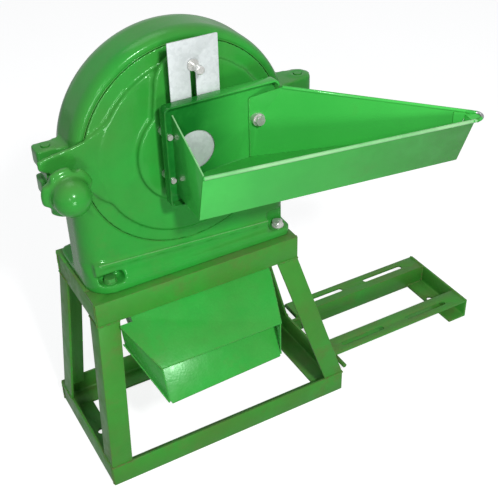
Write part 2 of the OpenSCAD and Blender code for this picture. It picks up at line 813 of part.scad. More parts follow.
module mill_door() {
    color(green) difference() {
        union() {
            ycyl(sx, sz, front_y - 0.6, front_y + 0.1, door_r - 0.5, door_r, $fn = 180);
            ycyl(sx, sz, front_y, front_y + seat_d - 0.4, door_r, door_r - seat_taper + 0.2, $fn = 180);
            ycyl(sx, sz, front_y + seat_d - 1, 61, 137, 136, $fn = 180);
            xz(arm_y + 1.5, front_y - 0.4) door_plate_flat();
            intersection() {
                xz(arm_y, arm_y + 1.6) door_plate_flat();
                ycyl(sx, sz, arm_y, arm_y + 1.6, plate_r - 1.5, plate_r - 0.1, $fn = 180);
            }
            xz(boss_y, arm_y + 1) door_boss_flat();
            ycyl(feed_x, feed_z, throat_y, boss_y + 1, feed_r + 6, feed_r + 8);
            ycyl(sx, screw_z, throat_y, boss_y + 1, 7, 8);
            // lug that turns on the hinge pin
            translate([0, 0, ear_mid - ear_gap / 2 + 1]) linear_extrude(height = ear_gap - 2) {
                translate([hinge_x, pin_y]) circle(r = 13);
                translate([hinge_x - 13, arm_y + 2]) square([26, pin_y - arm_y - 2]);
            }
        }
        ycyl(feed_x, feed_z, throat_y - 1, 70, feed_r - 2, feed_r - 2);
        translate([hinge_x, pin_y, ear_mid - 20]) cylinder(h = 40, r = pin_r + 0.08);
        ycyl(clamp_x, ear_mid, arm_y - 2, front_y + 2, pin_r + 0.5, pin_r + 0.5);
        for (b = plate_bolts)
            ycyl(b[0], b[1], throat_y, 40, bolt_r, bolt_r);
        ycyl(stay[0], stay[1], throat_y, 50, stay_r, stay_r);
        ycyl(sx, screw_z, throat_y - 1, 42, 3, 3);
        // groove for the gasket
        difference() {
            ycyl(sx, sz, front_y + seat_d - 3.4, front_y + seat_d, 144.2, 143.4, $fn = 180);
            ycyl(sx, sz, front_y + seat_d - 4, front_y + seat_d + 1, 139, 139, $fn = 180);
        }
    }
}

module door_gasket() {
    color(black) difference() {
        ycyl(sx, sz, front_y + seat_d - 3.3, front_y + seat_d - 0.2, 143.2, 143.2, $fn = 180);
        ycyl(sx, sz, front_y + seat_d - 4, front_y + seat_d + 1, 139.2, 139.2, $fn = 180);
    }
}

module clamp_collar() {
    color(zinc) difference() {
        ycyl(clamp_x, ear_mid, arm_y - 1.8, arm_y + 1.2, 13, 14);
        ycyl(clamp_x, ear_mid, arm_y - 5, arm_y + 3, pin_r + 0.08, pin_r + 0.08);
    }
}

module clamp_stud() {
    color(steel) {
        ycyl(clamp_x, ear_mid, 6, clamp_y - 9.5, pin_r, pin_r);
        ycyl(clamp_x, ear_mid, clamp_y - 9.5, clamp_y - 7.5, pin_r, pin_r - 2);
    }
}

// hand knob: turned hub, flange with five finger notches and a domed cap in front of it
module clamp_knob() {
    color(green) difference() {
        union() {
            translate([clamp_x, 0, ear_mid]) rotate([-90, 0, 0]) rotate_extrude()
                polygon([[0, -6], [19.5, -6], [19.5, -1.5], [26, 0.5], [knob_r - 4, 2.5],
                         [knob_r - 1, 5], [knob_r, 8], [knob_r - 1, 11], [knob_r - 4, 13.5],
                         [22, 17], [17, 21], [16, arm_y - 6], [14, arm_y - 2.1], [0, arm_y - 2.1]]);
            intersection() {
                translate([clamp_x, -8, ear_mid]) sphere(r = 24.5);
                ycyl(clamp_x, ear_mid, -40, -4, 40, 40);
            }
        }
        for (a = [5 : 72 : 293])
            translate([clamp_x, 0, ear_mid]) rotate([0, a, 0])
                ycyl(knob_r + 2, 0, -2, 20, 8, 8);
        ycyl(clamp_x, ear_mid, 6, 40, pin_r, pin_r);
    }
}

// guide strip welded behind the hopper plate along the right edge of the gate
module gate_guide() {
    color(green) box([gate_x + gate_w / 2 + 0.8, plate_y + sheet_t + 0.1, hz0 + 23],
                     [gate_x + gate_w / 2 + 6.8, throat_y - 0.4, hz1 - 2]);
}

module feed_gate() {
    color(zinc) xz(gate_y, gate_y + gate_t) difference() {
        round_rect(gate_x - gate_w / 2, gate_z0, gate_w, gate_h, 1.5);
        translate([sx, screw_z - gate_travel / 2]) rotate([0, 0, 90]) slot_flat(gate_travel + 8.6, 8);
    }
}

// screw through the slot of the gate, with its washer and head
module gate_screw() {
    color(zinc) {
        ycyl(sx, screw_z, -11, 40, 2.95, 2.95);
        ycyl(sx, screw_z, 5.6, 7.4, 8, 8);
        ycyl(sx, screw_z, -12, -9, 5.2, 6);
        ycyl(sx, screw_z, -15, -12, 6, 6);
        ycyl(sx, screw_z, -16, -15, 4.8, 6);
    }
}

hx0 = -85;
hx1 = 88;
hz0 = feed_z - 72;
hz1 = feed_z + 78;
bolt_r = 3;
plate_bolts = [[-74.4, feed_z + 30], [-74.4, feed_z - 36], [12, feed_z - 60]];
stay = [56, feed_z + 25];
fold_x = 46;
front_turn = -8.2;
front_tilt = 13.7;
back_turn = -23.2;
// walls of the tray: lengths of the top edges, height of the front wall, fall of the back rim
front_len = 404;
front_h = 73;
back_len = 318;
rim_drop = 0.2116;
rim_start = [46, feed_z + 69];
// wire of the rim round the outer tip
tip = [[331.6, -138.9, 7.5], [340, -138.7, 8.4], [345.4, -134.2, 9.4], [345.8, -128.4, 10.2],
       [339.4, -122.4, 11.1]];

module plate_outline(c) {
    round_rect(hx0 + c, hz0 + c, hx1 - hx0 - 2 * c, hz1 - hz0 - 2 * c, 8);
}

// mounting plate of the hopper with its lips folded forward along three edges
module hopper_plate() {
    color(green) difference() {
        union() {
            xz(plate_y, plate_y + sheet_t) plate_outline(0);
            xz(plate_y - 13, plate_y + 0.1) difference() {
                plate_outline(0);
                plate_outline(sheet_t);
                translate([hx1 - 14, hz0 - 1]) square([20, hz1 - hz0 - 8]);
                translate([fold_x, hz0 - 1]) square([60, 20]);
            }
        }
        ycyl(feed_x, feed_z, plate_y - 20, plate_y + 20, feed_r, feed_r);
        for (b = plate_bolts)
            ycyl(b[0], b[1], plate_y - 20, plate_y + 20, bolt_r, bolt_r);
        ycyl(stay[0], stay[1], plate_y - 20, plate_y + 20, stay_r, stay_r);
    }
}

// places children in the frame of the inclined front wall, outer face at local Y 0
module on_front() {
    translate([-70, -63, feed_z - 65.5]) rotate([0, 0, front_turn]) rotate([front_tilt, 0, 0]) children();
}

// places children in the frame of the slanting back wall, front face at local Y 0
module on_back() {
    translate([fold_x, plate_y - 0.2, 0]) rotate([0, 0, back_turn]) children();
}

module hopper_left_wall() {
    color(green) difference() {
        yz(-69.6, -69.6 + sheet_t)
            polygon([[plate_y - 0.2, feed_z + 61], [plate_y - 0.2, feed_z - 60], [-66, feed_z - 66],
                     [-84, feed_z + 9]]);
        on_front() box([-50, -40, -60], [200, sheet_t + seam, 140]);
    }
}

// round bar between two points with a weld bead at its start
module wire(p, q, r) {
    d = q - p;
    translate(p) sphere(r = r + 0.7, $fn = 32);
    translate(p) rotate([0, acos(d[2] / norm(d)), atan2(d[1], d[0])])
        cylinder(h = norm(d), r = r, $fn = 32);
}

module hopper_front_wall() {
    color(green) {
        on_front() union() {
            xz(0, sheet_t) polygon([[0, 0], [front_len - 11, 5], [front_len, front_h], [2.6, front_h]]);
            translate([3, 0, front_h + 2]) rotate([0, 90, 0]) cylinder(h = front_len + 2, r = 2.6, $fn = 32);
        }
        translate([0, 0, feed_z]) for (i = [0 : len(tip) - 2])
            wire(tip[i], tip[i + 1], 2.5);
    }
}

module hopper_back_wall() {
    color(green) difference() {
        on_back() union() {
            xz(-sheet_t, 0)
                polygon([[1.5, feed_z - 58], [back_len - 27, feed_z - 58],
                         [back_len - 10, rim_start[1] - rim_drop * (back_len - 10 - rim_start[0])],
                         rim_start, [30, feed_z + 65], [1.5, feed_z + 57]]);
            translate([rim_start[0], -1, rim_start[1]]) rotate([0, 90 + atan(rim_drop), 0])
                cylinder(h = (back_len - rim_start[0]) / cos(atan(rim_drop)), r = 2.4, $fn = 32);
        }
        ycyl(stay[0], stay[1], -40, 40, stay_r, stay_r);
        box([hx0, plate_y - 0.15, hz0 - 10], [hx1 + 20, 60, hz1 + 10]);
    }
}

// small closing piece at the narrow outer end of the tray
module hopper_end_wall() {
    color(green) translate([front_len - 87.4, 0, feed_z - 60]) rotate([0, 8.5, 0]) yz(-1, 0.8)
        polygon([[-116.4, 1], [-110.9, 1], [-118.7, 69], [-134, 69]]);
}

// inner floor that leads the grain down to the feed hole
module hopper_floor() {
    color(green) intersection() {
        translate([-67.8, 0, feed_z - 41]) rotate([0, -3.1, 0])
            box([0, -160, 0], [400, plate_y - 0.2, sheet_t]);
        on_front() box([2, sheet_t + 0.3, -40], [front_len - 20.4, 300, 140]);
        translate([0, 0, feed_z - 165]) linear_extrude(height = 200)
            polygon([[-67.8, plate_y - 0.2], [-67.8, -160], [400, -200], [front_len - 86.4, -114.3],
                     [fold_x, plate_y - 2.6]]);
    }
}

// screws that hold the hopper plate on the door
module hopper_screws() {
    color(zinc) for (b = plate_bolts) {
        ycyl(b[0], b[1], plate_y - 3.6, plate_y, bolt_r + 1, bolt_r + 1.4);
        ycyl(b[0], b[1], plate_y - 1, 38, bolt_r, bolt_r);
    }
}

// spacer tubes between the plate and the door; the small ones also guide the gate
module hopper_spacers() {
    color(zinc) {
        for (b = plate_bolts)
            difference() {
                ycyl(b[0], b[1], plate_y + sheet_t, boss_y, 6, 6);
                ycyl(b[0], b[1], 0, 40, bolt_r, bolt_r);
            }
        difference() {
            ycyl(stay[0], stay[1], plate_y + sheet_t, arm_y, stay_r + 4, stay_r + 4);
            ycyl(stay[0], stay[1], 0, 60, stay_r, stay_r);
        }
        // wedge washer on the slanting wall
        difference() {
            ycyl(stay[0], stay[1], -6.2, 8, stay_r + 5.2, stay_r + 5.2);
            ycyl(stay[0], stay[1], -20, 60, stay_r, stay_r);
            on_back() box([-60, -sheet_t - 0.1, 400], [100, 60, 700]);
        }
    }
}

// large hexagon bolt that holds the slanting wall
module hopper_stay_bolt() {
    color(zinc) {
        intersection() {
            yhex(stay[0], stay[1], -12, -6.2, stay_r * 3 + 1);
            ycyl(stay[0], stay[1], -12.1, -6, stay_r * 1.6, stay_r * 3);
        }
        ycyl(stay[0], stay[1], -8, 50, stay_r, stay_r);
    }
}

// moves everything so that the middle of the two anchor holes is the origin
module placed() {
    translate([-(anchor_left + anchor_right) / 2, -anchor_y, 0]) children();
}

placed() base_front_bar();
placed() base_back_bar();
placed() base_left_bar();
placed() base_right_bar();
placed() leg_front_left();
placed() leg_front_right();
placed() leg_back_left();
placed() leg_back_right();
placed() top_front_bar();
placed() top_back_bar();
placed() top_left_bar();
placed() top_right_bar();
placed() rail_hinge_ears();
placed() rail_hinge_rod();
placed() motor_rail_front();
placed() motor_rail_back();
placed() rail_end_bar();
placed() chute_top_panel();
placed() chute_left_side();
placed() chute_right_side();
placed() chute_bottom_panel();
placed() mill_body();
placed() foot_bolts();
placed() foot_nuts();
placed() bearing_housing();
placed() housing_bolts();
placed() bearing_outer_rings();
placed() bearing_balls();
placed() bearing_cap();
placed() cap_bolts();
placed() bearing_inner_rings();
placed() main_shaft();
placed() bearing_sleeve();
placed() rotor_disc();
placed() rotor_claws();
placed() rotor_nut();
placed() shaft_key();
placed() belt_pulley();
placed() pulley_nut();
placed() ring_sieve();
placed() ear_pins();
placed() clamp_block();
placed() mill_door();
placed() door_gasket();
placed() door_claws();
placed() clamp_collar();
placed() clamp_stud();
placed() clamp_knob();
placed() hopper_spacers();
placed() gate_guide();
placed() feed_gate();
placed() gate_screw();
placed() hopper_plate();
placed() hopper_left_wall();
placed() hopper_front_wall();
placed() hopper_back_wall();
placed() hopper_end_wall();
placed() hopper_floor();
placed() hopper_screws();
placed() hopper_stay_bolt();
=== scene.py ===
import math

import bmesh
import bpy
from mathutils import Matrix, Vector


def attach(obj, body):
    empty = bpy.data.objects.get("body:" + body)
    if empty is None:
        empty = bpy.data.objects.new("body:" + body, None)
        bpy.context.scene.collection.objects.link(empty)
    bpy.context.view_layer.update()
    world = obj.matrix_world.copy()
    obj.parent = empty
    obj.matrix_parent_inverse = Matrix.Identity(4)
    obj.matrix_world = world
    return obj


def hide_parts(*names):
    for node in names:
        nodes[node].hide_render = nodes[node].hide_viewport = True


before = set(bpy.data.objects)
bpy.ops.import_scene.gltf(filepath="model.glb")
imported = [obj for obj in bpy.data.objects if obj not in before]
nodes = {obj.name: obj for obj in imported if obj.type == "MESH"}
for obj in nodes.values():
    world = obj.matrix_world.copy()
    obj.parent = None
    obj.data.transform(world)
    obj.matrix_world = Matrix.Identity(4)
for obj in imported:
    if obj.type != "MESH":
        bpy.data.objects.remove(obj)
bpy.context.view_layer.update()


# ---- Camera, floor and light ----
# The mill stands on a white studio floor and is seen from its front left, a little above the
# drum. The main lamp hangs high in front of it. A low lamp gives the knob its glint, a small one
# at the left the streaks on the door's edges, and a wide one above the back a soft fill.

# point of the stand's own drawing that is the origin here, in millimetres
ORIGIN_MM = Vector((163.0, 122.0, 0.0))


def at(x, y, z):
    """A point of the stand's drawing, in millimetres, as a place in the scene."""
    return (Vector((x, y, z)) - ORIGIN_MM) / 1000.0


def look_matrix(place, yaw, pitch, roll):
    """Camera matrix for a place, a yaw from +Y to +X, a downward pitch and a roll in degrees."""
    y, p, r = (math.radians(a) for a in (yaw, pitch, roll))
    ahead = Vector((math.sin(y) * math.cos(p), math.cos(y) * math.cos(p), -math.sin(p)))
    side = Vector((math.cos(y), -math.sin(y), 0.0))
    top = side.cross(ahead)
    right = side * math.cos(r) + top * math.sin(r)
    up = top * math.cos(r) - side * math.sin(r)
    turn = Matrix((right, up, -ahead)).transposed().to_4x4()
    return Matrix.Translation(place) @ turn


camera = bpy.data.objects.new("camera", bpy.data.cameras.new("camera"))
bpy.context.scene.collection.objects.link(camera)
bpy.context.scene.camera = camera
camera.data.lens = 65.7
camera.data.sensor_width = 36.0
camera.data.shift_x = -0.0008
camera.data.clip_end = 50.0
camera.matrix_world = look_matrix(at(-498.2, -983.5, 1160.5), 28.63, 34.99, -1.54)

bpy.context.scene.view_settings.view_transform = "Standard"


def combine(tree, operation, first, second):
    """Two values put through one Math operation; each is a number or a socket."""
    node = tree.nodes.new("ShaderNodeMath")
    node.operation = operation
    for slot, value in ((0, first), (1, second)):
        if isinstance(value, (int, float)):
            node.inputs[slot].default_value = value
        else:
            tree.links.new(value, node.inputs[slot])
    return node.outputs[0]


def seen_directly(tree, mirrored):
    """1 for camera and glass rays, and the given share for mirror rays: they show the background."""
    path = tree.nodes.new("ShaderNodeLightPath")
    mirror = combine(tree, "MULTIPLY", path.outputs["Is Glossy Ray"], mirrored)
    shown = combine(tree, "MAXIMUM", path.outputs["Is Camera Ray"], mirror)
    return combine(tree, "MAXIMUM", shown, path.outputs["Is Transmission Ray"])


room = bpy.data.worlds.new("white_room")
bpy.context.scene.world = room
room.use_nodes = True
tree = room.node_tree
tree.nodes.clear()
room_light = tree.nodes.new("ShaderNodeBackground")
room_light.inputs["Color"].default_value = (0.92, 0.96, 1.0, 1.0)
room_light.inputs["Strength"].default_value = 0.27
room_seen = tree.nodes.new("ShaderNodeBackground")
room_seen.inputs["Color"].default_value = (1.0, 1.0, 1.0, 1.0)
room_seen.inputs["Strength"].default_value = 1.0
room_mix = tree.nodes.new("ShaderNodeMixShader")
room_out = tree.nodes.new("ShaderNodeOutputWorld")
tree.links.new(seen_directly(tree, 0.6), room_mix.inputs["Fac"])
tree.links.new(room_light.outputs[0], room_mix.inputs[1])
tree.links.new(room_seen.outputs[0], room_mix.inputs[2])
tree.links.new(room_mix.outputs[0], room_out.inputs["Surface"])


def soft_lamp(name, place, target, size, watts):
    """A square studio lamp at a place, aimed at a target."""
    lamp = bpy.data.objects.new(name, bpy.data.lights.new(name, "AREA"))
    lamp.data.shape = "SQUARE"
    lamp.data.size = size
    lamp.data.energy = watts
    lamp.location = place
    lamp.rotation_mode = "QUATERNION"
    lamp.rotation_quaternion = (Vector(target) - Vector(place)).to_track_quat("-Z", "Y")
    bpy.context.scene.collection.objects.link(lamp)


soft_lamp("key_lamp", (-0.39, -2.02, 2.02), (-0.15, 0.0, 0.35), 0.22, 44.0)
soft_lamp("low_lamp", (-0.72, -2.5, 0.38), (-0.2, 0.0, 0.4), 0.6, 17.0)
soft_lamp("left_glint", (-1.55, -2.0, 1.55), (-0.25, 0.0, 0.55), 0.12, 6.0)
soft_lamp("top_lamp", (-0.2, 0.7, 2.3), (-0.1, 0.0, 0.4), 1.0, 6.0)

floor_mesh = bpy.data.meshes.new("floor")
# a hair below the base bars, so that they and the floor don't flicker
FLOOR_Z = -0.0006
floor_mesh.from_pydata([(x, y, FLOOR_Z) for x, y in ((-9, -9), (9, -9), (9, 9), (-9, 9))], [], [(0, 1, 2, 3)])
floor = bpy.data.objects.new("floor", floor_mesh)
bpy.context.scene.collection.objects.link(floor)
floor_paint = bpy.data.materials.new("floor_white")
floor_paint.use_nodes = True
tree = floor_paint.node_tree
tree.nodes.clear()
floor_matt = tree.nodes.new("ShaderNodeBsdfDiffuse")
floor_matt.inputs["Color"].default_value = (0.42, 0.42, 0.42, 1.0)
floor_glow = tree.nodes.new("ShaderNodeEmission")
floor_glow.inputs["Color"].default_value = (1.0, 1.0, 1.0, 1.0)
floor_amount = combine(tree, "MULTIPLY", seen_directly(tree, 0.35), 0.80)
floor_sum = tree.nodes.new("ShaderNodeAddShader")
floor_out = tree.nodes.new("ShaderNodeOutputMaterial")
tree.links.new(floor_amount, floor_glow.inputs["Strength"])
tree.links.new(floor_matt.outputs[0], floor_sum.inputs[0])
tree.links.new(floor_glow.outputs[0], floor_sum.inputs[1])
tree.links.new(floor_sum.outputs[0], floor_out.inputs["Surface"])
floor.data.materials.append(floor_paint)


# ---- Welded stand ----
# Twelve lengths of rolled 40 mm angle iron: four on the floor, four sloping legs and four round
# the top. They are cut square, welded and brushed over with green enamel, which is chipped at
# the edges and stained brown near the welds.


def noise(tree, place, scale, detail=3.0, roughness=0.5):
    """Noise value over the object's own coordinates; scale is in cells per metre."""
    cell = tree.nodes.new("ShaderNodeTexNoise")
    cell.inputs["Scale"].default_value = scale
    cell.inputs["Detail"].default_value = detail
    cell.inputs["Roughness"].default_value = roughness
    tree.links.new(place, cell.inputs["Vector"])
    return cell.outputs[0]


def remap(tree, value, low, high, to_low=0.0, to_high=1.0):
    """Value moved from one range to another and held inside it."""
    node = tree.nodes.new("ShaderNodeMapRange")
    node.inputs["From Min"].default_value = low
    node.inputs["From Max"].default_value = high
    node.inputs["To Min"].default_value = to_low
    node.inputs["To Max"].default_value = to_high
    tree.links.new(value, node.inputs["Value"])
    return node.outputs[0]


def blend_colour(tree, share, first, second):
    """Colour between two; each is a colour or a socket."""
    node = tree.nodes.new("ShaderNodeMix")
    node.data_type = "RGBA"
    tree.links.new(share, node.inputs[0])
    for slot, colour in ((6, first), (7, second)):
        if isinstance(colour, tuple):
            node.inputs[slot].default_value = (*colour, 1.0)
        else:
            tree.links.new(colour, node.inputs[slot])
    return node.outputs[2]


def edge_share(tree, radius):
    """0 on flat metal, rising to 1 on a sharp outer or inner edge."""
    rounded = tree.nodes.new("ShaderNodeBevel")
    rounded.samples = 4
    rounded.inputs["Radius"].default_value = radius
    plain = tree.nodes.new("ShaderNodeNewGeometry")
    dot = tree.nodes.new("ShaderNodeVectorMath")
    dot.operation = "DOT_PRODUCT"
    tree.links.new(rounded.outputs[0], dot.inputs[0])
    tree.links.new(plain.outputs["Normal"], dot.inputs[1])
    return remap(tree, dot.outputs["Value"], 0.995, 0.86)


def upward_share(tree):
    """1 on surfaces that face up, where dust settles."""
    plain = tree.nodes.new("ShaderNodeNewGeometry")
    split = tree.nodes.new("ShaderNodeSeparateXYZ")
    tree.links.new(plain.outputs["Normal"], split.inputs[0])
    return remap(tree, split.outputs["Z"], 0.25, 0.95)


def new_material(name):
    """A new material, with its nodes, its shader and the place on its object."""
    material = bpy.data.materials.new(name)
    material.use_nodes = True
    tree = material.node_tree
    place = tree.nodes.new("ShaderNodeTexCoord").outputs["Object"]
    return material, tree, tree.nodes["Principled BSDF"], place


def roughen(tree, shader, height, strength, distance):
    """Bump from a height value."""
    bump = tree.nodes.new("ShaderNodeBump")
    bump.inputs["Strength"].default_value = strength
    bump.inputs["Distance"].default_value = distance
    tree.links.new(height, bump.inputs["Height"])
    tree.links.new(bump.outputs[0], shader.inputs["Normal"])


def enamel(name, paint, thin, rust_share, dust_share, dents, grain, gloss, painted_light_fade=None):
    """Brushed green enamel over steel or iron: tone, rust at edges, settled dust and dents.

    The last argument gives two places along X and the colour that the coat reaches between them: painted
    light and shade laid across a wall, not a colour of the coat."""
    material, tree, shader, place = new_material(name)
    tone = remap(tree, noise(tree, place, 7.0, 4.0, 0.6), 0.35, 0.68)
    colour = blend_colour(tree, tone, thin, paint)
    # painted light and shade: the coat turns along X towards the lighter or darker colour given with it
    if painted_light_fade:
        along = tree.nodes.new("ShaderNodeSeparateXYZ")
        tree.links.new(place, along.inputs[0])
        share = remap(tree, along.outputs["X"], painted_light_fade[0], painted_light_fade[1])
        colour = blend_colour(tree, share, colour, painted_light_fade[2])
    streak = remap(tree, noise(tree, place, 34.0, 3.0, 0.6), 0.45, 0.75, 0.0, 0.35)
    colour = blend_colour(tree, streak, colour, tuple(c * 0.78 for c in paint))
    dust = combine(tree, "MULTIPLY", upward_share(tree),
                   remap(tree, noise(tree, place, 11.0, 5.0, 0.65), 0.38, 0.72, 0.0, dust_share))
    colour = blend_colour(tree, dust, colour, (0.15, 0.17, 0.07))
    patch = remap(tree, noise(tree, place, 16.0, 6.0, 0.7), 0.60 - 0.10 * rust_share, 0.72)
    chips = remap(tree, noise(tree, place, 120.0, 4.0, 0.7), 0.44, 0.58)
    edge = combine(tree, "MULTIPLY", edge_share(tree, 0.0026), chips)
    worn = combine(tree, "MAXIMUM", combine(tree, "MULTIPLY", patch, 0.55 * rust_share),
                   combine(tree, "MULTIPLY", edge, rust_share))
    rust = blend_colour(tree, noise(tree, place, 60.0), (0.10, 0.075, 0.035), (0.20, 0.12, 0.06))
    colour = blend_colour(tree, worn, colour, rust)
    tree.links.new(colour, shader.inputs["Base Color"])
    rough = combine(tree, "ADD", remap(tree, noise(tree, place, 48.0), 0.3, 0.7, gloss - 0.05, gloss + 0.09),
                    combine(tree, "MULTIPLY", combine(tree, "MAXIMUM", worn, dust), 0.42))
    tree.links.new(rough, shader.inputs["Roughness"])
    height = combine(tree, "ADD", combine(tree, "MULTIPLY", noise(tree, place, 260.0, 2.0), grain),
                     combine(tree, "MULTIPLY", noise(tree, place, 13.0, 2.0), dents))
    height = combine(tree, "SUBTRACT", height, combine(tree, "MULTIPLY", worn, 0.35))
    roughen(tree, shader, height, 0.35, 0.0012)
    shader.inputs["Specular IOR Level"].default_value = 0.30
    shader.inputs["Specular Tint"].default_value = (0.62, 0.95, 0.66, 1.0)
    return material


def merged_copy(node_name):
    """A copy of a CAD node's mesh with its loose triangles joined up."""
    mesh = nodes[node_name].data.copy()
    work = bmesh.new()
    work.from_mesh(mesh)
    bmesh.ops.remove_doubles(work, verts=work.verts, dist=1e-5)
    work.to_mesh(mesh)
    work.free()
    mesh.materials.clear()
    return mesh


def add_piece(name, mesh, material, body, crisp=None):
    """A finished piece: mesh in place, one material, riding on a body; crisp is an edge angle."""
    piece = bpy.data.objects.new(name, mesh)
    bpy.context.scene.collection.objects.link(piece)
    mesh.materials.clear()
    mesh.materials.append(material)
    mesh.shade_smooth()
    if crisp:
        mesh.set_sharp_from_angle(angle=math.radians(crisp))
    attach(piece, body)
    return piece


def baked(piece):
    """The mesh that an object's modifiers make; the object itself is taken away."""
    view = bpy.context.evaluated_depsgraph_get()
    mesh = bpy.data.meshes.new_from_object(piece.evaluated_get(view))
    bpy.data.objects.remove(piece)
    return mesh


def eased(node_name, width, material, body, name=None):
    """A rolled or sheet piece in its CAD form, with its edges eased as rolling or paint does."""
    mesh = merged_copy(node_name)
    work = bmesh.new()
    work.from_mesh(mesh)
    bmesh.ops.dissolve_limit(work, angle_limit=0.02, verts=work.verts, edges=work.edges)
    work.to_mesh(mesh)
    work.free()
    source = bpy.data.objects.new("source", mesh)
    bpy.context.scene.collection.objects.link(source)
    ease = source.modifiers.new("ease", "BEVEL")
    ease.width = width
    ease.segments = 2
    ease.limit_method = "ANGLE"
    ease.angle_limit = math.radians(40)
    piece = add_piece(name or node_name + "_bar", baked(source), material, body, 33)
    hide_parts(node_name)
    return piece


STAND_GREEN = (0.038, 0.300, 0.032)
STAND_THIN = (0.062, 0.215, 0.030)
stand_enamel = enamel("stand_enamel", STAND_GREEN, STAND_THIN, 0.85, 0.45, 0.5, 0.5, 0.36)

for bar in ("base_front_bar", "base_back_bar", "base_left_bar", "base_right_bar",
            "leg_front_left", "leg_front_right", "leg_back_left", "leg_back_right",
            "top_front_bar", "top_back_bar", "top_left_bar", "top_right_bar"):
    eased(bar, 0.0007, stand_enamel, "mill")


# ---- Folding motor rails ----
# Two slotted angle-iron rails and an end bar, welded into a frame that lies on the floor and
# folds up on a round rod held by two ears on the base.


def dress(material, *names):
    """One material for CAD nodes whose shape stays."""
    for name in names:
        nodes[name].data.materials.clear()
        nodes[name].data.materials.append(material)


for bar in ("motor_rail_front", "motor_rail_back", "rail_end_bar"):
    eased(bar, 0.0007, stand_enamel, "motor_rails")
dress(stand_enamel, "rail_hinge_ears", "rail_hinge_rod")


# ---- Weld beads ----
# Short arc welds join the bars, the rails, the chute and the feed tray. Each is a row of small
# overlapping ripples laid by hand, painted over with the rest.


def bead_tree():
    """Nodes that lay ripples along the edges of a mesh."""
    tree = bpy.data.node_groups.new("weld_ripples", "GeometryNodeTree")
    for name, kind, value in (("Geometry", "NodeSocketGeometry", None),
                              ("Ripple pitch", "NodeSocketFloat", 0.0022),
                              ("Bead radius", "NodeSocketFloat", 0.0020),
                              ("Ripple seed", "NodeSocketInt", 3),
                              ("Paint", "NodeSocketMaterial", None)):
        socket = tree.interface.new_socket(name=name, in_out="INPUT", socket_type=kind)
        if value is not None:
            socket.default_value = value
    tree.interface.new_socket(name="Geometry", in_out="OUTPUT", socket_type="NodeSocketGeometry")
    start = tree.nodes.new("NodeGroupInput")
    end = tree.nodes.new("NodeGroupOutput")
    line = tree.nodes.new("GeometryNodeMeshToCurve")
    even = tree.nodes.new("GeometryNodeResampleCurve")
    even.mode = "LENGTH"
    ball = tree.nodes.new("GeometryNodeMeshIcoSphere")
    ball.inputs["Subdivisions"].default_value = 2
    tangent = tree.nodes.new("GeometryNodeInputTangent")
    aim = tree.nodes.new("FunctionNodeAlignRotationToVector")
    aim.axis = "X"
    vary = tree.nodes.new("FunctionNodeRandomValue")
    vary.data_type = "FLOAT_VECTOR"
    vary.inputs[0].default_value = (0.75, 0.85, 0.80)
    vary.inputs[1].default_value = (0.95, 1.20, 1.15)
    size = tree.nodes.new("ShaderNodeVectorMath")
    size.operation = "SCALE"
    lay = tree.nodes.new("GeometryNodeInstanceOnPoints")
    real = tree.nodes.new("GeometryNodeRealizeInstances")
    smooth = tree.nodes.new("GeometryNodeSetShadeSmooth")
    paint = tree.nodes.new("GeometryNodeSetMaterial")
    link = tree.links.new
    link(start.outputs["Geometry"], line.inputs["Mesh"])
    link(line.outputs["Curve"], even.inputs["Curve"])
    link(start.outputs["Ripple pitch"], even.inputs["Length"])
    link(tangent.outputs[0], aim.inputs["Vector"])
    link(start.outputs["Ripple seed"], vary.inputs["Seed"])
    link(vary.outputs[0], size.inputs[0])
    link(start.outputs["Bead radius"], size.inputs["Scale"])
    link(even.outputs["Curve"], lay.inputs["Points"])
    link(ball.outputs["Mesh"], lay.inputs["Instance"])
    link(aim.outputs["Rotation"], lay.inputs["Rotation"])
    link(size.outputs["Vector"], lay.inputs["Scale"])
    link(lay.outputs["Instances"], real.inputs["Geometry"])
    link(real.outputs["Geometry"], smooth.inputs["Geometry"])
    link(smooth.outputs["Geometry"], paint.inputs["Geometry"])
    link(start.outputs["Paint"], paint.inputs["Material"])
    link(paint.outputs["Geometry"], end.inputs["Geometry"])
    return tree


ripples = bead_tree()


def weld(name, lines, radius, body, paint):
    """Beads along straight lines given in the drawing's millimetres."""
    points, edges = [], []
    for first, second in lines:
        edges.append((len(points), len(points) + 1))
        points += [at(*first), at(*second)]
    mesh = bpy.data.meshes.new("lines")
    mesh.from_pydata(points, edges, [])
    source = bpy.data.objects.new("source", mesh)
    bpy.context.scene.collection.objects.link(source)
    run = source.modifiers.new("run", "NODES")
    run.node_group = ripples
    keys = {s.name: s.identifier for s in ripples.interface.items_tree if s.in_out == "INPUT"}
    run[keys["Ripple pitch"]] = radius * 1.1
    run[keys["Bead radius"]] = radius
    run[keys["Ripple seed"]] = 3
    run[keys["Paint"]] = paint
    return add_piece(name, baked(source), paint, body)


# length of the beads round each end of a leg, which stands on the base and under the top frame
LEG_BEAD = 34
ON_BASE, UNDER_TOP = 40.2, 311.8
stand_lines = []
for side, out in ((-222, -205), (222, 137)):
    inward = 1 if side < 0 else -1
    inner = side + inward * 4
    for base_y, foot_y, top_y, way in ((0, 0, 20, 1), (240, 222, 185, -1)):
        inner_y, seam_y, top_seam_y = base_y + way * 4, base_y + way * 4.2, top_y + way * 4.2
        stand_lines += [((side, foot_y, ON_BASE), (side + inward * LEG_BEAD, foot_y, ON_BASE)),
                        ((side, foot_y, ON_BASE), (side, foot_y + way * LEG_BEAD, ON_BASE)),
                        ((out, top_y, UNDER_TOP), (out + inward * LEG_BEAD, top_y, UNDER_TOP)),
                        ((out, top_y, UNDER_TOP), (out, top_y + way * LEG_BEAD, UNDER_TOP)),
                        ((inner, inner_y, 5), (inner, inner_y, 39)),
                        ((side, seam_y, 1), (side, seam_y, 39)),
                        ((out, top_seam_y, 313), (out, top_seam_y, 351))]
weld("stand_welds", stand_lines, 0.0016, "mill", stand_enamel)
